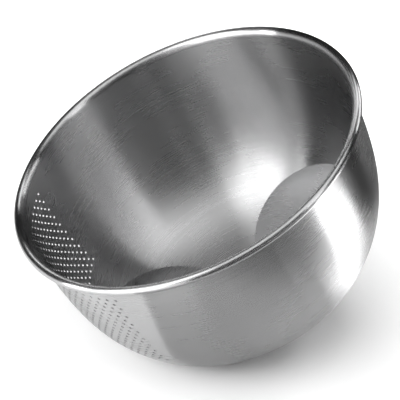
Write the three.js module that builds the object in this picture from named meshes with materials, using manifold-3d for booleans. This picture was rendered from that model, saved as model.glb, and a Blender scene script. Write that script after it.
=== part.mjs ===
// Rice washing bowl of pressed stainless steel sheet.
// A boxy round bowl has two flats pressed into its bottom, one to each side, so it stands at two tilts.
// On the drain flat it leans over to the side with the holes, and on the wash flat it leans away from them.
// Units are millimetres, +Z is up, and the bowl stands on its drain flat, whose middle is the origin.
// The mirror plane is Y = 0, and the holes look to -X.

import * as THREE from 'three';
import { mergeGeometries, mergeVertices } from 'three/addons/utils/BufferGeometryUtils.js';
import Module from 'manifold-3d';

const wasm = await Module();
wasm.setup();

// Driving dimensions of the sheet and the section that it is drawn to
const SHEET = 0.7; // thickness of the steel
const WALL_RADIUS = 106.5; // outside of the wall at its top
const WALL_HEIGHT = 126; // from the lowest point of the round section to the bend of the lip
const BASE_EXPONENT = 2.52; // 2 draws the bottom of an ellipse, and more draws a flatter one
const WALL_EXPONENT = 3.11; // 2 draws the side of an ellipse, and more draws a straighter one

// Lip: the wall bends out in an easy curve, and its edge is then rolled over and under round a wire
const LIP_BEND = 6; // radius of the bend, on its upper face
const LIP_BEND_TURN = 45; // degrees that the wall bends out before the roll starts
const WIRE_DIAMETER = 3.1;
const WIRE_CLEARANCE = 0.35; // between the wire and the sheet rolled round it
const ROLL_TURN = 245; // degrees that the edge is rolled through

// Flats: planes tilted from the bowl's axis, each pressed some way in from the round section
const FLAT_TILT = 25; // degrees between each flat and a level base
const DRAIN_PRESS = 12.5;
const WASH_PRESS = 11.1;

// Holes: rows around the wall, each row shifted by half a pitch from the one above it
const HOLE_DIAMETER = 1.8;
const HOLE_ROWS = 19;
const HOLES_IN_ROW = 24; // every second row has one hole less
const HOLE_PITCH = 6.1; // along the wall's top
const ROW_PITCH = 3.6;
const FIRST_ROW = 9.9; // from the top of the wall, along the section

// Fineness of the facets
const AROUND = 32;
const SECTION_STEPS = 11;
const BEND_STEPS = 2;
const ROLL_STEPS = 5;
const WIRE_SIDES = 8;
const HOLE_SIDES = 4;
const MEASURE_STEPS = 2000; // where the section is only measured

// Sizes that follow from the driving dimensions
const ROLL_RADIUS = WIRE_DIAMETER / 2 + WIRE_CLEARANCE + SHEET;
const ROLL_START = 180 - LIP_BEND_TURN;
const ROLL_END = ROLL_START - ROLL_TURN;
const BEND_CENTRE = new THREE.Vector2(WALL_RADIUS - SHEET + LIP_BEND, WALL_HEIGHT);
const ROLL_CENTRE = arc(BEND_CENTRE, LIP_BEND - ROLL_RADIUS, ROLL_START, ROLL_START, 1)[0];
const RIM_TOP = ROLL_CENTRE.y + ROLL_RADIUS;
const TILT = THREE.MathUtils.degToRad(FLAT_TILT);

// Half of the round section, from its lowest point on the axis to the top of the wall
class RoundSection extends THREE.Curve {
  getPoint(t, target = new THREE.Vector2()) {
    const angle = (t * Math.PI) / 2;
    const radius = WALL_RADIUS * Math.sin(angle) ** (2 / BASE_EXPONENT);
    const drop = Math.max(Math.cos(angle), 0) ** (2 / WALL_EXPONENT);
    return target.set(radius, WALL_HEIGHT * (1 - drop));
  }
}

const section = new RoundSection();
section.arcLengthDivisions = MEASURE_STEPS;

// A point of the section at a share of its length, moved into the bowl by a depth
function sectionPoint(share, depth) {
  const point = section.getPointAt(share);
  const inward = sectionNormal(share);
  return point.addScaledVector(inward, depth);
}

// The section's normal that points into the bowl: straight up on the axis, and level at the top of the wall
function sectionNormal(share) {
  if (share === 0) return new THREE.Vector2(0, 1);
  if (share === 1) return new THREE.Vector2(-1, 0);
  const tangent = section.getTangentAt(share);
  return new THREE.Vector2(-tangent.y, tangent.x);
}

function sectionPoints(depth) {
  const points = [];
  for (let step = 0; step <= SECTION_STEPS; step += 1) {
    points.push(sectionPoint(step / SECTION_STEPS, depth));
  }
  return points;
}

// Points of an arc, with its angles in degrees from +X
function arc(centre, radius, from, to, steps) {
  const points = [];
  for (let step = 0; step <= steps; step += 1) {
    const angle = THREE.MathUtils.degToRad(from + ((to - from) * step) / steps);
    points.push(new THREE.Vector2(centre.x + radius * Math.cos(angle), centre.y + radius * Math.sin(angle)));
  }
  return points;
}

// Turns a profile of (radius, height) points round the Z axis
function turned(profile) {
  return new THREE.LatheGeometry(profile, AROUND).rotateX(Math.PI / 2);
}

// A closed geometry as a solid that can be cut
function solidOf(geometry) {
  const bare = geometry.clone();
  bare.deleteAttribute('normal');
  bare.deleteAttribute('uv');
  const merged = mergeVertices(bare);
  const index = merged.index.array;
  const triangles = [];
  for (let i = 0; i < index.length; i += 3) {
    const [a, b, c] = [index[i], index[i + 1], index[i + 2]];
    if (a !== b && b !== c && c !== a) triangles.push(a, b, c);
  }
  const mesh = new wasm.Mesh({
    numProp: 3,
    vertProperties: new Float32Array(merged.attributes.position.array),
    triVerts: new Uint32Array(triangles),
  });
  return new wasm.Manifold(mesh);
}

function geometryOf(solid) {
  const mesh = solid.getMesh();
  const geometry = new THREE.BufferGeometry();
  geometry.setAttribute('position', new THREE.BufferAttribute(new Float32Array(mesh.vertProperties), 3));
  geometry.setIndex(new THREE.BufferAttribute(new Uint32Array(mesh.triVerts), 1));
  geometry.computeVertexNormals();
  return geometry;
}

// How far a point of the section lies towards a flat, along the flat's normal
function towardsFlat(point) {
  return point.x * Math.sin(TILT) - point.y * Math.cos(TILT);
}

// The place of a flat's plane along its normal, pressed in from the round section
function flatDepth(press) {
  return Math.max(...section.getSpacedPoints(MEASURE_STEPS).map(towardsFlat)) - press;
}

// Half-way along the line in which a flat's plane cuts the section, measured along the flat
function flatMiddle(depth) {
  const cut = section.getSpacedPoints(MEASURE_STEPS).filter((point) => towardsFlat(point) >= depth);
  const along = cut.map((point) => point.x * Math.cos(TILT) + point.y * Math.sin(TILT));
  return (Math.min(...along) + Math.max(...along)) / 2;
}

// A block of all that lies beyond a flat's plane: side is -1 for the drain flat and 1 for the wash flat
function beyondFlat(side, depth) {
  const size = 4 * (WALL_RADIUS + WALL_HEIGHT);
  const block = new THREE.BoxGeometry(size, size, size).translate(0, 0, -size / 2 - depth);
  return solidOf(block.rotateY(-side * TILT));
}

const drainDepth = flatDepth(DRAIN_PRESS);
const washDepth = flatDepth(WASH_PRESS);

// The bowl as a full lump: the outside of the wall, then the lip and its roll, closed by a level top
function blankProfile() {
  return [
    ...sectionPoints(0),
    ...arc(BEND_CENTRE, LIP_BEND - SHEET, 180, ROLL_START, BEND_STEPS).slice(1),
    ...arc(ROLL_CENTRE, ROLL_RADIUS - SHEET, ROLL_START, ROLL_END, ROLL_STEPS).slice(1),
    ...arc(ROLL_CENTRE, ROLL_RADIUS, ROLL_END, ROLL_START, ROLL_STEPS),
    ...arc(BEND_CENTRE, LIP_BEND, ROLL_START, 180, BEND_STEPS).slice(1),
    new THREE.Vector2(0, WALL_HEIGHT),
  ];
}

// The space inside the bowl, closed by a cone that clears the lip
function hollowProfile() {
  return [...sectionPoints(SHEET), new THREE.Vector2(0, RIM_TOP)];
}

// One pointed punch along Y: where it meets the middle of the sheet it has the area of the round hole
function punch() {
  const side = (2 * Math.PI) / HOLE_SIDES;
  const radius = (HOLE_DIAMETER / 2) * Math.sqrt(side / Math.sin(side));
  const behind = 2 * SHEET;
  const reach = WALL_RADIUS / 2;
  const base = radius * (1 + behind / reach);
  return new THREE.ConeGeometry(base, behind + reach, HOLE_SIDES).translate(0, (reach - behind) / 2, 0);
}

// All the punches, each square to the wall at the middle of the sheet
function holePattern() {
  const punches = [];
  for (let row = 0; row < HOLE_ROWS; row += 1) {
    const share = 1 - (FIRST_ROW + row * ROW_PITCH) / section.getLength();
    const middle = sectionPoint(share, SHEET / 2);
    const inward = sectionNormal(share);
    const count = HOLES_IN_ROW - (row % 2);
    for (let hole = 0; hole < count; hole += 1) {
      const angle = Math.PI + ((hole - (count - 1) / 2) * HOLE_PITCH) / WALL_RADIUS;
      const radial = new THREE.Vector3(Math.cos(angle), Math.sin(angle), 0);
      const axis = radial.clone().multiplyScalar(inward.x).setZ(inward.y);
      const sideways = new THREE.Vector3(-radial.y, radial.x, 0);
      const place = new THREE.Matrix4()
        .makeBasis(sideways, axis, sideways.clone().cross(axis))
        .setPosition(radial.x * middle.x, radial.y * middle.x, middle.y);
      punches.push(punch().applyMatrix4(place));
    }
  }
  return solidOf(mergeGeometries(punches));
}

// The pressed sheet: outside less inside, both cut by the flats, and then punched
function makeShell() {
  const blank = solidOf(turned(blankProfile()))
    .subtract(beyondFlat(-1, drainDepth))
    .subtract(beyondFlat(1, washDepth));
  const hollow = solidOf(turned(hollowProfile()))
    .subtract(beyondFlat(-1, drainDepth - SHEET))
    .subtract(beyondFlat(1, washDepth - SHEET));
  return geometryOf(blank.subtract(hollow).subtract(holePattern()));
}

// The wire that stiffens the rim, lying in the roll
function makeWire() {
  const loop = arc(ROLL_CENTRE, WIRE_DIAMETER / 2, 0, 360, WIRE_SIDES);
  return geometryOf(solidOf(turned(loop)));
}

const steel = { color: 0xc3c5c8, roughness: 0.3, metalness: 1 };
const wireSteel = { color: 0xa9abae, roughness: 0.4, metalness: 1 };

const shell = new THREE.Mesh(makeShell(), new THREE.MeshStandardMaterial(steel));
shell.name = 'bowl_shell';

const wire = new THREE.Mesh(makeWire(), new THREE.MeshStandardMaterial(wireSteel));
wire.name = 'rim_wire';

// Leans the bowl over until the drain flat is level, and puts the flat's middle at the origin
const bowl = new THREE.Group();
bowl.add(shell, wire);
bowl.rotation.y = -TILT;
bowl.position.set(flatMiddle(drainDepth), 0, drainDepth);

const riceWashingBowl = new THREE.Group();
riceWashingBowl.add(bowl);

export default riceWashingBowl;
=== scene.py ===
import math

import bpy
import numpy as np
from mathutils import Matrix, Vector
from mathutils.geometry import delaunay_2d_cdt


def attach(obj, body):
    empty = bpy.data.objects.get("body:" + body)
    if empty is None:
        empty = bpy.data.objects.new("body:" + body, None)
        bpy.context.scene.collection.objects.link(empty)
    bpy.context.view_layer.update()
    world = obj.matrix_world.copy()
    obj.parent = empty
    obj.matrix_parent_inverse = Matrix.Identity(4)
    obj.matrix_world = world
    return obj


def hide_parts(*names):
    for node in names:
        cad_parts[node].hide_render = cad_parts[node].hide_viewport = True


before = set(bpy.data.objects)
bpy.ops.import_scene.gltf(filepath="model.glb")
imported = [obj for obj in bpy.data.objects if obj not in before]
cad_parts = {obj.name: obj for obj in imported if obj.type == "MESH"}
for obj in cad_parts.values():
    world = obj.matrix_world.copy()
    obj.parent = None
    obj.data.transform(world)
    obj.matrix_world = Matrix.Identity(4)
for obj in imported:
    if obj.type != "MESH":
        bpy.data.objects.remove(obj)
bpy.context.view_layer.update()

# Rice washing bowl of satin stainless steel, standing tilted on its drain flat.
# The sheet is drawn from the same sizes as the solids, in millimetres and in the bowl's own frame:
# its axis is Z, its holes look to -X, and the lowest point of its round section is the origin.

MM = 0.001

# The sheet and the section that it is drawn to
SHEET = 0.7  # thickness of the steel
WALL_RADIUS = 106.5  # outside of the wall at its top
WALL_HEIGHT = 126.0  # from the lowest point of the round section to the bend of the lip
BASE_EXPONENT = 2.52  # 2 draws the bottom of an ellipse, and more draws a flatter one
WALL_EXPONENT = 3.11  # 2 draws the side of an ellipse, and more draws a straighter one

# The lip, which bends out and is then rolled over and under round a wire
LIP_BEND = 6.0  # radius of the bend, on its upper face
LIP_BEND_TURN = 45  # degrees that the wall bends out before the roll starts
WIRE_DIAMETER = 3.1
WIRE_CLEARANCE = 0.35  # between the wire and the sheet rolled round it
ROLL_TURN = 245  # degrees that the edge is rolled through

# The two flats, each pressed some way in from the round section
FLAT_TILT = math.radians(25)  # between each flat and a level base
DRAIN_PRESS = 12.5
WASH_PRESS = 11.1
CREASE_RADIUS = 1.7  # where a flat leaves the round surface

# The holes, in rows around the wall, each row shifted by half a pitch from the one above it
HOLE_DIAMETER = 1.8
HOLE_ROWS = 19
HOLES_IN_ROW = 24  # every second row has one hole less
HOLE_PITCH = 6.1  # along the wall's top
ROW_PITCH = 3.6
FIRST_ROW = 9.9  # from the top of the wall, along the section

# Sizes of the lip that follow, with its angles in degrees from +X
ROLL_RADIUS = WIRE_DIAMETER / 2 + WIRE_CLEARANCE + SHEET
BEND_START = 180
ROLL_START = BEND_START - LIP_BEND_TURN
ROLL_END = ROLL_START - ROLL_TURN
BEND_CENTRE = (WALL_RADIUS - SHEET + LIP_BEND, WALL_HEIGHT)
ROLL_CENTRE = (BEND_CENTRE[0] - (LIP_BEND - ROLL_RADIUS) * math.cos(math.radians(LIP_BEND_TURN)),
               BEND_CENTRE[1] + (LIP_BEND - ROLL_RADIUS) * math.sin(math.radians(LIP_BEND_TURN)))

# Fineness of the mesh
SECTION_SAMPLES = 20000  # where the section is measured
COLUMNS = 256  # faces round the rim
GRID = 3.5  # between points of the sheet
HOLE_SIDES = 16
CREASE_POINTS = 220  # round each flat
CREASE_LEVELS = (-1.0, -0.5, 0.0, 0.5, 1.0)  # lines of points along a crease, in half widths of it
CREASE_HALVINGS = 50  # in the search for such a line
BEND_STEPS = 12
ROLL_STEPS = 32
WIRE_SIDES = 12
LEAST_ON_RING = 8  # points on a ring near the axis
LEAST_GAP = 1e-6  # between two points of the sheet
LEAST_LENGTH = 1e-9  # keeps the point on the axis from a division by 0

# Finish of the sheet and of the wire: the steel's colour, its roughness, how much more it blurs across its
# brush marks than along them, and how strongly the marks stand out
SHEET_COLOUR = (0.38, 0.38, 0.383, 1)
SHEET_ROUGHNESS = 0.27
SHEET_ANISOTROPY = 1.0
SHEET_RELIEF = 0.28
WIRE_COLOUR = (0.42, 0.42, 0.425, 1)
WIRE_ROUGHNESS = 0.4
WIRE_ANISOTROPY = 0.3
WIRE_RELIEF = 0.05

# Brush marks: how many go round the bowl, how far apart they lie in metres, and what they change
FINE_TURNS = 4
FINE_PITCH = 0.0009
FINE_SHARE = 0.55
BROAD_TURNS = 3
BROAD_PITCH = 0.0021
BROAD_SHARE = 0.45
MARK_HEIGHT = 0.0001
MARK_ROUGHNESS = 0.009
CLOUD_SCALE = 22
CLOUD_DETAIL = 2
CLOUD_ROUGHNESS = 0.02
NOISE_LOW = 0.3
NOISE_HIGH = 0.7
LIP_POLISH = 0.85  # the lip's roughness, as a share of the wall's
LIP_BLEND = 1.0  # from the wall's finish to the lip's, to either side of the wall's top


# The round section, as points, outward normals and lengths from its lowest point
def section_table():
    a = np.linspace(0, math.pi / 2, SECTION_SAMPLES + 1)
    sin, cos = np.sin(a), np.maximum(np.cos(a), 0)
    cos[-1] = 0
    r = WALL_RADIUS * sin ** (2 / BASE_EXPONENT)
    z = WALL_HEIGHT * (1 - cos ** (2 / WALL_EXPONENT))
    inner = a[1:-1]
    dr = WALL_RADIUS * 2 / BASE_EXPONENT * np.sin(inner) ** (2 / BASE_EXPONENT - 1) * np.cos(inner)
    dz = WALL_HEIGHT * 2 / WALL_EXPONENT * np.cos(inner) ** (2 / WALL_EXPONENT - 1) * np.sin(inner)
    slope = np.hypot(dr, dz)
    out_r = np.concatenate([[0], dz / slope, [1]])
    out_z = np.concatenate([[-1], -dr / slope, [0]])
    s = np.concatenate([[0], np.cumsum(np.hypot(np.diff(r), np.diff(z)))])
    return s, r, z, out_r, out_z


S_TABLE, R_TABLE, Z_TABLE, OUT_R_TABLE, OUT_Z_TABLE = section_table()
SECTION_LENGTH = S_TABLE[-1]


# Points of the round surface, and their outward normals, for points of the flat disc that it unrolls to
def round_surface(uv):
    s = np.hypot(uv[:, 0], uv[:, 1])
    safe = np.where(s > 0, s, 1)
    c, d = np.where(s > 0, uv[:, 0] / safe, 1), uv[:, 1] / safe
    r, z = np.interp(s, S_TABLE, R_TABLE), np.interp(s, S_TABLE, Z_TABLE)
    nr, nz = np.interp(s, S_TABLE, OUT_R_TABLE), np.interp(s, S_TABLE, OUT_Z_TABLE)
    size = np.hypot(nr, nz)
    point = np.stack([r * c, r * d, z], 1)
    normal = np.stack([nr * c, nr * d, nz], 1) / size[:, None]
    return point, normal


# One of the two flats, as a plane with a rounded crease where it leaves the round surface
class Flat:
    def __init__(self, side, press):
        self.normal = np.array([side * math.sin(FLAT_TILT), 0, -math.cos(FLAT_TILT)])
        reach = R_TABLE * math.sin(FLAT_TILT) - Z_TABLE * math.cos(FLAT_TILT)
        self.depth = reach.max() - press
        cut = S_TABLE[reach >= self.depth]
        self.centre = np.array([side * (cut.min() + cut.max()) / 2, 0])
        self.turns = np.linspace(-math.pi, math.pi, CREASE_POINTS, endpoint=False)
        self.width = np.zeros(CREASE_POINTS)
        edge = self.loop(0)
        _, normal = round_surface(edge)
        angle = np.arccos(np.clip(normal @ self.normal, -1, 1))
        self.width = CREASE_RADIUS * angle * np.sin(angle) / 2
        self.edge = np.hypot(*(edge - self.centre).T)

    # How far points lie outside the plane
    def beyond(self, point):
        return point @ self.normal - self.depth

    # The closed line where the round surface is so many half widths of the crease outside the plane
    def loop(self, level):
        ray = np.stack([np.cos(self.turns), np.sin(self.turns)], 1)
        near, far = np.zeros(CREASE_POINTS), np.full(CREASE_POINTS, SECTION_LENGTH)
        for _ in range(CREASE_HALVINGS):
            middle = (near + far) / 2
            point, _ = round_surface(self.centre + ray * middle[:, None])
            past = self.beyond(point) > level * self.width
            near, far = np.where(past, middle, near), np.where(past, far, middle)
        return self.centre + ray * near[:, None]

    # A value that changes round the flat, in the directions of the given points
    def around(self, uv, values):
        offset = uv - self.centre
        turn = np.arctan2(offset[:, 1], offset[:, 0])
        return np.interp(turn, self.turns, values, period=2 * math.pi)

    # How far points of the unrolled disc lie from the flat's edge, less than 0 inside it
    def from_edge(self, uv):
        return np.hypot(*(uv - self.centre).T) - self.around(uv, self.edge)

    # Moves what lies beyond the plane back to it, and turns its normals
    def press(self, uv, point, normal):
        width = self.around(uv, self.width)
        beyond = self.beyond(point)
        share = np.clip((beyond + width) / (2 * width), 0, 1)
        back = np.where(beyond > width, beyond, share ** 2 * width)
        facing = normal @ self.normal
        turned = (1 - share)[:, None] * normal + (share * facing)[:, None] * self.normal
        turned /= np.linalg.norm(turned, axis=1)[:, None]
        return point - back[:, None] * self.normal, turned


DRAIN = Flat(-1, DRAIN_PRESS)
WASH = Flat(1, WASH_PRESS)


# Where the bowl stands: leant over until its drain flat is level, with the flat's middle at the origin
def bowl_matrix():
    along = R_TABLE * math.cos(FLAT_TILT) + Z_TABLE * math.sin(FLAT_TILT)
    reach = R_TABLE * math.sin(FLAT_TILT) - Z_TABLE * math.cos(FLAT_TILT)
    flat = along[reach >= DRAIN.depth]
    place = Matrix.Translation((MM * (flat.min() + flat.max()) / 2, 0, MM * DRAIN.depth))
    return place @ Matrix.Rotation(-FLAT_TILT, 4, "Y")


BOWL = bowl_matrix()


# Each hole's middle on the unrolled disc: its turn about the axis and its length from the lowest point
def hole_places():
    places = []
    for row in range(HOLE_ROWS):
        s = SECTION_LENGTH - FIRST_ROW - row * ROW_PITCH
        count = HOLES_IN_ROW - row % 2
        for hole in range(count):
            places.append((math.pi + (hole - (count - 1) / 2) * HOLE_PITCH / WALL_RADIUS, s))
    return np.array(places)


# Points of the unrolled disc, from their turn about the axis and their length from the lowest point
def disc(turn, s):
    return np.stack([s * np.cos(turn), s * np.sin(turn)], -1)


# Rings of points all over the disc, without those that would crowd a hole or a crease
def ring_points(holes):
    rings = [np.zeros((1, 2))]
    count = round(SECTION_LENGTH / GRID)
    for k in range(1, count):
        s = SECTION_LENGTH * k / count
        r = np.interp(s, S_TABLE, R_TABLE)
        number = max(LEAST_ON_RING, round(2 * math.pi * r / GRID))
        turn = (np.arange(number) + k % 2 / 2) * 2 * math.pi / number
        rings.append(disc(turn, s))
    points = np.concatenate(rings)
    clear = np.ones(len(points), bool)
    for flat in (DRAIN, WASH):
        clear &= np.abs(flat.from_edge(points)) > GRID / 2
    s = np.hypot(points[:, 0], points[:, 1])
    aside = np.abs(np.arctan2(points[:, 1], -points[:, 0])) * WALL_RADIUS
    across = HOLES_IN_ROW * HOLE_PITCH / 2
    in_rows = (s < holes[0, 1] + ROW_PITCH / 2) & (s > holes[-1, 1] - ROW_PITCH / 2)
    return points[clear & ~((aside < across) & in_rows)]


# The sheet's triangles on the unrolled disc, with the loops of points round its holes
def sheet_layout():
    holes = hole_places()
    rings = ring_points(holes)
    total = len(rings)
    points = [rings]
    owner = [np.full(total, -1)]
    edges = []

    def add_loop(loop, name):
        nonlocal total
        number = len(loop)
        points.append(loop)
        owner.append(np.full(number, name))
        edges.extend((total + i, total + (i + 1) % number) for i in range(number))
        total += number
        return range(total - number, total)

    for flat in (DRAIN, WASH):
        for level in CREASE_LEVELS:
            add_loop(flat.loop(level), -1)
    side = np.arange(HOLE_SIDES) * 2 * math.pi / HOLE_SIDES
    loops = []
    for name, (turn, s) in enumerate(holes):
        r = np.interp(s, S_TABLE, R_TABLE)
        ring = disc(turn + HOLE_DIAMETER / 2 * np.cos(side) / r, s + HOLE_DIAMETER / 2 * np.sin(side))
        loops.append(add_loop(ring, name))
    column = np.arange(COLUMNS) * 2 * math.pi / COLUMNS
    top = add_loop(disc(column, SECTION_LENGTH), -1)
    points, owner = np.concatenate(points), np.concatenate(owner)
    flat_points = [Vector(p) for p in points]
    made, _, faces, source, _, _ = delaunay_2d_cdt(flat_points, edges, [], 0, LEAST_GAP)
    if len(made) != len(points):
        raise ValueError("the sheet's points ran into each other")
    back = [ids[0] for ids in source]
    faces = np.array([[back[i] for i in face] for face in faces])
    one_hole = (owner[faces[:, 0]] >= 0) & (owner[faces] == owner[faces[:, :1]]).all(1)
    faces = faces[~one_hole]
    a, b, c = (points[faces[:, i]] for i in range(3))
    turn = (b - a)[:, 0] * (c - a)[:, 1] - (b - a)[:, 1] * (c - a)[:, 0]
    faces[turn < 0] = faces[turn < 0][:, ::-1]
    return points, faces, [list(loop) for loop in loops], list(top)


# The lip's section from the top of the wall's outside, under the roll to the sheet's edge, and back over it
# to the wall's inside: places and normals, and how many of them come before the edge
def lip_section():
    bend = [(BEND_CENTRE, LIP_BEND, BEND_START - LIP_BEND_TURN * k / BEND_STEPS)
            for k in range(BEND_STEPS)]
    roll = [(ROLL_CENTRE, ROLL_RADIUS, ROLL_START - ROLL_TURN * k / ROLL_STEPS)
            for k in range(ROLL_STEPS + 1)]
    upper, under = [], []
    for centre, radius, degrees in bend + roll:
        way = np.array([math.cos(math.radians(degrees)), math.sin(math.radians(degrees))])
        upper.append([*(centre + radius * way), *way])
        under.append([*(centre + (radius - SHEET) * way), *-way])
    return np.array(under + upper[::-1]), len(under)


# Collects points and faces, with a normal for each corner of each face
class Surface:
    def __init__(self):
        self.points, self.lengths, self.ways = [], [], []
        self.faces, self.normals, self.sharp = [], [], set()

    # Points have a length along the section, and a way along it, across the brush marks.
    # What it gives back is the number of the first of them.
    def add_points(self, points, lengths, ways):
        first = len(self.points)
        self.points.extend(points)
        self.lengths.extend(lengths)
        self.ways.extend(ways)
        return first

    def add_face(self, corners, normals):
        self.faces.append(tuple(int(c) for c in corners))
        self.normals.extend(normals)

    def add_sharp(self, loop):
        for a, b in zip(loop, np.roll(loop, -1)):
            self.sharp.add((min(a, b), max(a, b)))

    # The mesh in metres, placed as the bowl stands
    def mesh(self, name):
        mesh = bpy.data.meshes.new(name)
        turn = np.array(BOWL.to_3x3())
        places = np.array(self.points) * MM
        moved = places @ turn.T + np.array(BOWL.translation)
        mesh.from_pydata(moved.tolist(), [], self.faces)
        for key, kind, field, values in (
            ("section_length", "FLOAT", "value", np.array(self.lengths) * MM),
            ("bowl_place", "FLOAT_VECTOR", "vector", places),
            ("section_way", "FLOAT_VECTOR", "vector", np.array(self.ways) @ turn.T),
        ):
            attribute = mesh.attributes.new(key, kind, "POINT")
            attribute.data.foreach_set(field, values.astype(np.float32).ravel())
        edges = np.zeros(2 * len(mesh.edges), int)
        mesh.edges.foreach_get("vertices", edges)
        sharp = [(min(e), max(e)) in self.sharp for e in edges.reshape(-1, 2).tolist()]
        mesh.attributes.new("sharp_edge", "BOOLEAN", "EDGE").data.foreach_set("value", sharp)
        mesh.polygons.foreach_set("use_smooth", np.ones(len(self.faces), bool))
        mesh.normals_split_custom_set((np.array(self.normals) @ turn.T).tolist())
        mesh.update()
        return mesh


# The wall's outside and inside, joined round its holes: gives the number of each one's first point
def add_wall(sheet, uv, faces, holes):
    point, normal = round_surface(uv)
    s = np.hypot(uv[:, 0], uv[:, 1])
    radial = uv / np.maximum(s, LEAST_LENGTH)[:, None]
    slope = np.hypot(normal[:, 0], normal[:, 1])
    ways = np.column_stack([radial * -normal[:, 2:], slope])
    for flat in (DRAIN, WASH):
        point, normal = flat.press(uv, point, normal)
    out = sheet.add_points(point, s, ways)
    inn = sheet.add_points(point - SHEET * normal, s, ways)
    for face in faces:
        sheet.add_face(out + face[::-1], normal[face[::-1]])
        sheet.add_face(inn + face, -normal[face])
    for loop in holes:
        inward = point[loop].mean(0) - point[loop]
        inward /= np.linalg.norm(inward, axis=1)[:, None]
        for k in range(HOLE_SIDES):
            j = (k + 1) % HOLE_SIDES
            a, b = loop[k], loop[j]
            sheet.add_face((out + a, out + b, inn + b, inn + a), inward[[k, j, j, k]])
        sheet.add_sharp([out + i for i in loop])
        sheet.add_sharp([inn + i for i in loop])
    return out, inn


# The lip, from the points at the top of the wall's outside to those of its inside, which have the same turns
def add_lip(sheet, turn, top_out, top_in):
    rows, edge = lip_section()
    around = np.stack([np.cos(turn), np.sin(turn)], 1)
    run = np.concatenate([[0], np.cumsum(np.hypot(*np.diff(rows[:, :2], axis=0).T))])

    def ring(r, z):
        return np.column_stack([r * around, np.full(COLUMNS, z)])

    indices = [top_out]
    for k in range(1, len(rows) - 1):
        length = SECTION_LENGTH + min(run[k], run[-1] - run[k])
        places, ways = ring(*rows[k, :2]), ring(-rows[k, 3], rows[k, 2])
        indices.append(sheet.add_points(places, [length] * COLUMNS, ways) + np.arange(COLUMNS))
    indices.append(top_in)
    facings = [ring(*row[2:]) for row in rows]
    end_turn = math.radians(ROLL_END)
    cut = ring(math.sin(end_turn), -math.cos(end_turn))
    for k in range(len(rows) - 1):
        near, far = (cut, cut) if k == edge - 1 else (facings[k], facings[k + 1])
        for i in range(COLUMNS):
            j = (i + 1) % COLUMNS
            corners = (indices[k][i], indices[k][j], indices[k + 1][j], indices[k + 1][i])
            sheet.add_face(corners, (near[i], near[j], far[j], far[i]))
    sheet.add_sharp(indices[edge - 1])
    sheet.add_sharp(indices[edge])


def make_shell():
    uv, faces, holes, top = sheet_layout()
    sheet = Surface()
    out, inn = add_wall(sheet, uv, faces, holes)
    turn = np.arctan2(uv[top, 1], uv[top, 0])
    add_lip(sheet, turn, out + np.array(top), inn + np.array(top))
    return sheet.mesh("bowl_sheet")


def make_wire():
    wire = Surface()
    side = np.arange(WIRE_SIDES) * 2 * math.pi / WIRE_SIDES
    turn = np.arange(COLUMNS) * 2 * math.pi / COLUMNS
    facing = []
    for t in turn:
        radial = np.array([math.cos(t), math.sin(t), 0])
        out = np.cos(side)[:, None] * radial + np.sin(side)[:, None] * np.array([0, 0, 1])
        ways = np.cos(side)[:, None] * np.array([0, 0, 1]) - np.sin(side)[:, None] * radial
        middle = ROLL_CENTRE[0] * radial + np.array([0, 0, ROLL_CENTRE[1]])
        wire.add_points(middle + WIRE_DIAMETER / 2 * out, side * WIRE_DIAMETER / 2, ways)
        facing.append(out)
    for i in range(COLUMNS):
        j = (i + 1) % COLUMNS
        for k in range(WIRE_SIDES):
            m = (k + 1) % WIRE_SIDES
            corners = (i * WIRE_SIDES + k, j * WIRE_SIDES + k, j * WIRE_SIDES + m, i * WIRE_SIDES + m)
            wire.add_face(corners, (facing[i][k], facing[j][k], facing[j][m], facing[i][m]))
    return wire.mesh("bowl_wire")


# Small helpers for node trees
def add_node(tree, kind, **settings):
    node = tree.nodes.new(kind)
    for key, value in settings.items():
        setattr(node, key, value)
    return node


def plug(tree, value, socket):
    if isinstance(value, bpy.types.NodeSocket):
        tree.links.new(value, socket)
    else:
        socket.default_value = value


def math_node(tree, operation, a, b):
    node = add_node(tree, "ShaderNodeMath", operation=operation)
    plug(tree, a, node.inputs[0])
    plug(tree, b, node.inputs[1])
    return node.outputs[0]


def map_range(tree, value, low, high, to_low, to_high):
    node = add_node(tree, "ShaderNodeMapRange")
    plug(tree, value, node.inputs["Value"])
    node.inputs["From Min"].default_value = low
    node.inputs["From Max"].default_value = high
    node.inputs["To Min"].default_value = to_low
    node.inputs["To Max"].default_value = to_high
    return node.outputs["Result"]


# A value that the mesh has at each of its points
def mesh_value(tree, name, output):
    return add_node(tree, "ShaderNodeAttribute", attribute_name=name).outputs[output]


# Noise drawn out round the bowl's axis: turns is how many grains go round, and pitch is their distance
def brush_noise(tree, ring, length, turns, pitch):
    spread = add_node(tree, "ShaderNodeVectorMath", operation="SCALE")
    plug(tree, ring, spread.inputs[0])
    spread.inputs["Scale"].default_value = turns / (2 * math.pi)
    across = math_node(tree, "MULTIPLY", length, 1 / pitch)
    lift = add_node(tree, "ShaderNodeCombineXYZ")
    plug(tree, across, lift.inputs["Z"])
    place = add_node(tree, "ShaderNodeVectorMath", operation="ADD")
    plug(tree, spread.outputs[0], place.inputs[0])
    plug(tree, lift.outputs[0], place.inputs[1])
    noise = add_node(tree, "ShaderNodeTexNoise")
    plug(tree, place.outputs[0], noise.inputs["Vector"])
    noise.inputs["Scale"].default_value = 1
    noise.inputs["Detail"].default_value = 0
    return noise.outputs["Fac"]


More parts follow.
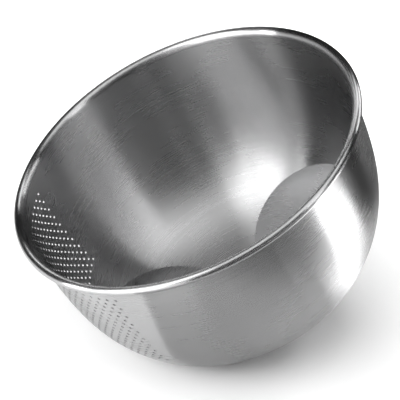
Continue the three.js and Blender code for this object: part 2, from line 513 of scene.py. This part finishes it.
# The height of the brush marks, fine and broad ones together
def brush_marks(tree, place, length):
    level = add_node(tree, "ShaderNodeVectorMath", operation="MULTIPLY")
    plug(tree, place, level.inputs[0])
    level.inputs[1].default_value = (1, 1, 0)
    ring = add_node(tree, "ShaderNodeVectorMath", operation="NORMALIZE")
    plug(tree, level.outputs[0], ring.inputs[0])
    fine = brush_noise(tree, ring.outputs[0], length, FINE_TURNS, FINE_PITCH)
    broad = brush_noise(tree, ring.outputs[0], length, BROAD_TURNS, BROAD_PITCH)
    fine_part = math_node(tree, "MULTIPLY", fine, FINE_SHARE)
    broad_part = math_node(tree, "MULTIPLY", broad, BROAD_SHARE)
    return math_node(tree, "ADD", fine_part, broad_part)


# The roughness, which changes a little with the marks and from place to place, and is less on the lip
def brush_roughness(tree, place, length, marks, roughness):
    cloud = add_node(tree, "ShaderNodeTexNoise")
    plug(tree, place, cloud.inputs["Vector"])
    cloud.inputs["Scale"].default_value = CLOUD_SCALE
    cloud.inputs["Detail"].default_value = CLOUD_DETAIL
    in_marks = map_range(tree, marks, NOISE_LOW, NOISE_HIGH, -MARK_ROUGHNESS, MARK_ROUGHNESS)
    smoothest, roughest = roughness - CLOUD_ROUGHNESS, roughness + CLOUD_ROUGHNESS
    in_cloud = map_range(tree, cloud.outputs["Fac"], NOISE_LOW, NOISE_HIGH, smoothest, roughest)
    wall_end, lip_start = MM * (SECTION_LENGTH - LIP_BLEND), MM * (SECTION_LENGTH + LIP_BLEND)
    polish = map_range(tree, length, wall_end, lip_start, 1, LIP_POLISH)
    return math_node(tree, "MULTIPLY", math_node(tree, "ADD", in_marks, in_cloud), polish)


# Steel with fine brush marks round the bowl's axis
def steel(name, colour, roughness, anisotropy, relief):
    material = bpy.data.materials.new(name)
    material.use_nodes = True
    tree = material.node_tree
    tree.nodes.clear()
    shader = add_node(tree, "ShaderNodeBsdfPrincipled")
    output = add_node(tree, "ShaderNodeOutputMaterial")
    tree.links.new(shader.outputs[0], output.inputs["Surface"])
    shader.inputs["Base Color"].default_value = colour
    shader.inputs["Metallic"].default_value = 1
    shader.inputs["Anisotropic"].default_value = anisotropy

    place = mesh_value(tree, "bowl_place", "Vector")
    length = mesh_value(tree, "section_length", "Fac")
    marks = brush_marks(tree, place, length)
    plug(tree, brush_roughness(tree, place, length, marks, roughness), shader.inputs["Roughness"])
    plug(tree, mesh_value(tree, "section_way", "Vector"), shader.inputs["Tangent"])

    bump = add_node(tree, "ShaderNodeBump")
    bump.inputs["Strength"].default_value = relief
    bump.inputs["Distance"].default_value = MARK_HEIGHT
    plug(tree, marks, bump.inputs["Height"])
    plug(tree, bump.outputs[0], shader.inputs["Normal"])
    return material


def add_piece(name, mesh, material, node):
    mesh.materials.append(material)
    piece = bpy.data.objects.new(name, mesh)
    bpy.context.scene.collection.objects.link(piece)
    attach(piece, "root")
    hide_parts(node)


sheet_steel = steel("brushed_sheet", SHEET_COLOUR, SHEET_ROUGHNESS, SHEET_ANISOTROPY, SHEET_RELIEF)
wire_steel = steel("drawn_wire", WIRE_COLOUR, WIRE_ROUGHNESS, WIRE_ANISOTROPY, WIRE_RELIEF)
add_piece("bowl_sheet", make_shell(), sheet_steel, "bowl_shell")
add_piece("bowl_wire", make_wire(), wire_steel, "rim_wire")


# Floor, in metres: it glows to the camera and in reflections, hardly at all round the middle of the bowl's
# shadow, and white further off. The weak glow there is a painted shadow, which darkens the shadow that the
# lamps cast
FLOOR_SIZE = 6.0
FLOOR_COLOUR = (0.9, 0.9, 0.9, 1)
FLOOR_ROUGHNESS = 0.9
GLOW_COLOUR = (1, 1, 1, 1)
GLOW_NEAR = 0.02
GLOW_FAR = 0.95
NEAR_REACH = 0.045
FAR_REACH = 0.36
SHADOW_MIDDLE = (0.04, -0.04, 0)


def add_stage(name, corners, material):
    mesh = bpy.data.meshes.new(name)
    mesh.from_pydata(corners, [], [(0, 1, 2, 3)])
    mesh.materials.append(material)
    stage = bpy.data.objects.new(name, mesh)
    bpy.context.scene.collection.objects.link(stage)
    return stage


def make_floor():
    material = bpy.data.materials.new("floor_white")
    material.use_nodes = True
    tree = material.node_tree
    shader = tree.nodes["Principled BSDF"]
    shader.inputs["Base Color"].default_value = FLOOR_COLOUR
    shader.inputs["Roughness"].default_value = FLOOR_ROUGHNESS
    shader.inputs["Emission Color"].default_value = GLOW_COLOUR
    path = add_node(tree, "ShaderNodeLightPath")
    seen = math_node(tree, "MAXIMUM", path.outputs["Is Camera Ray"], path.outputs["Is Glossy Ray"])
    place = add_node(tree, "ShaderNodeNewGeometry")
    # Painted shadow: the glow is weakest round a fixed point in the bowl's shadow
    reach = add_node(tree, "ShaderNodeVectorMath", operation="DISTANCE")
    plug(tree, place.outputs["Position"], reach.inputs[0])
    reach.inputs[1].default_value = SHADOW_MIDDLE
    glow = map_range(tree, reach.outputs["Value"], NEAR_REACH, FAR_REACH, GLOW_NEAR, GLOW_FAR)
    plug(tree, math_node(tree, "MULTIPLY", seen, glow), shader.inputs["Emission Strength"])
    size = FLOOR_SIZE
    add_stage("floor", [(-size, -size, 0), (size, -size, 0), (size, size, 0), (-size, size, 0)], material)


make_floor()

# Cards that show only in reflections, in metres, which paint darker reflections on the steel: two dark ones
# stand in front of the bowl and to its right, and one lies on the floor in front of it and fades from grey
# on its left to white on its right
DARK_COLOUR = (0.03, 0.03, 0.03, 1)
GREY_CORNERS = [(-0.04, -0.06), (-0.18, -0.136), (0.085, -0.215), (0.075, -0.06)]
GREY_LIFT = 0.001
GREY_SHADE = 0.46
WHITE_SHADE = 0.97
FADE_START = -0.06
FADE_END = 0.06


def make_card(name, corners):
    material = bpy.data.materials.new(name)
    material.use_nodes = True
    card = add_stage(name, corners, material)
    card.visible_camera = False
    card.visible_diffuse = False
    card.visible_shadow = False
    return material.node_tree


def make_dark_card(name, start, end, height):
    tree = make_card(name, [(*start, 0), (*end, 0), (*end, height), (*start, height)])
    tree.nodes["Principled BSDF"].inputs["Base Color"].default_value = DARK_COLOUR


def make_grey_card(name):
    tree = make_card(name, [(x, y, GREY_LIFT) for x, y in GREY_CORNERS])
    place = add_node(tree, "ShaderNodeTexCoord")
    split = add_node(tree, "ShaderNodeSeparateXYZ")
    plug(tree, place.outputs["Object"], split.inputs[0])
    # Painted reflection: the fade makes the steel mirror a darker tone where the card is grey
    shade = map_range(tree, split.outputs["X"], FADE_START, FADE_END, GREY_SHADE, WHITE_SHADE)
    plug(tree, shade, tree.nodes["Principled BSDF"].inputs["Base Color"])


make_dark_card("card_dark_right", start=(0.315, -0.115), end=(0.18, 0.20), height=0.17)
make_dark_card("card_dark_front", start=(-0.13, -0.22), end=(0.20, -0.21), height=0.10)
make_grey_card("card_grey_floor")

WORLD_COLOUR = (1, 1, 1, 1)
WORLD_LEVEL = 0.03

world = bpy.data.worlds.new("studio")
bpy.context.scene.world = world
world.use_nodes = True
background = world.node_tree.nodes["Background"]
background.inputs["Color"].default_value = WORLD_COLOUR
background.inputs["Strength"].default_value = WORLD_LEVEL

UP = Vector((0, 0, 1))
DOWN = Vector((0, 0, -1))
LEFT = Vector((-1, 0, 0))
RIGHT = Vector((1, 0, 0))
BACK = Vector((0, 1, 0))
FRONT_RIGHT = Vector((0.94, -0.342, 0))
OPEN_SPREAD = 180  # degrees, for a lamp without a grid


# Soft light from a rectangle, where its middle is in metres, and top is the way that its upper edge lies
def softbox(name, middle, facing, top, width, height, brightness, spread=OPEN_SPREAD):
    data = bpy.data.lights.new(name, "AREA")
    data.shape = "RECTANGLE"
    data.size = width
    data.size_y = height
    data.energy = brightness * math.pi * width * height
    data.spread = math.radians(spread)
    lamp = bpy.data.objects.new(name, data)
    bpy.context.scene.collection.objects.link(lamp)
    behind = -Vector(facing).normalized()
    side = top.cross(behind).normalized()
    turn = Matrix((side, behind.cross(side), behind)).transposed().to_4x4()
    lamp.matrix_world = Matrix.Translation(middle) @ turn
    lamp.visible_camera = False


# Large soft lights to the left and above, and smaller ones in front, for the zones inside the bowl
softbox("softbox_left", middle=(-0.66, -0.19, 0.425), facing=RIGHT, top=UP,
        width=0.62, height=0.85, brightness=3.8)
softbox("softbox_top", middle=(-0.13, -0.30, 0.75), facing=DOWN, top=BACK,
        width=1.06, height=0.6, brightness=2.1)
softbox("softbox_front_left", middle=(-0.517, -0.517, 0.425), facing=(0.646, 0.646, -0.407), top=UP,
        width=0.22, height=0.45, brightness=0.8)
softbox("softbox_front_right", middle=(0.346, -0.60, 0.52), facing=(-0.424, 0.734, -0.53), top=UP,
        width=0.2, height=0.3, brightness=3.0)

# White cards to the left, for the band inside, and two low on the right, for the band outside
softbox("card_middle", middle=(-0.65, -0.08, 0.325), facing=RIGHT, top=UP,
        width=0.24, height=0.15, brightness=3.0)
softbox("card_left", middle=(-0.66, 0.15, 0.13), facing=RIGHT, top=UP,
        width=0.16, height=0.26, brightness=10.0)
softbox("card_low", middle=(0.300, -0.214, 0.0275), facing=(-0.766, 0.643, 0), top=UP,
        width=0.21, height=0.055, brightness=7.5)
softbox("card_floor", middle=(0.186, -0.117, 0.004), facing=UP, top=FRONT_RIGHT,
        width=0.075, height=0.15, brightness=2.4)

# Lights behind and to the right, for the rim
softbox("softbox_behind", middle=(0.25, 0.40, 0.75), facing=DOWN, top=BACK,
        width=0.35, height=0.25, brightness=3.0)
softbox("softbox_back", middle=(0, 0.70, 0.47), facing=(0, -0.883, -0.47), top=UP,
        width=0.25, height=0.2, brightness=2.5)
softbox("softbox_right", middle=(0.60, 0.10, 0.47), facing=LEFT, top=UP,
        width=0.36, height=0.24, brightness=4.5)

# Lamps with grids, which light the floor behind the bowl and to its right
softbox("lamp_floor_back", middle=(0.15, 0.65, 0.90), facing=DOWN, top=BACK,
        width=0.7, height=0.4, brightness=0.5, spread=60)
softbox("lamp_floor_right", middle=(0.35, 0.04, 0.90), facing=DOWN, top=BACK,
        width=0.2, height=0.4, brightness=0.8, spread=35)

# Camera, fitted to the photograph, with its place and target in millimetres
PHOTO_WIDTH = 400
FOCAL_PIXELS = 1380.3
SENSOR_WIDTH = 36
CAMERA_PLACE = (-300.6, -658.5, 514.7)
CAMERA_TARGET = (18.56, 16.32, 72.17)
NEAREST = 0.01
FARTHEST = 100

camera_data = bpy.data.cameras.new("camera")
camera_data.sensor_width = SENSOR_WIDTH
camera_data.lens = SENSOR_WIDTH * FOCAL_PIXELS / PHOTO_WIDTH
camera_data.clip_start = NEAREST
camera_data.clip_end = FARTHEST
camera = bpy.data.objects.new("camera", camera_data)
bpy.context.scene.collection.objects.link(camera)
camera.location = Vector(CAMERA_PLACE) * MM
look = Vector(CAMERA_TARGET) * MM - camera.location
camera.rotation_euler = look.to_track_quat("-Z", "Y").to_euler()
bpy.context.scene.camera = camera
bpy.context.scene.view_settings.view_transform = "Standard"
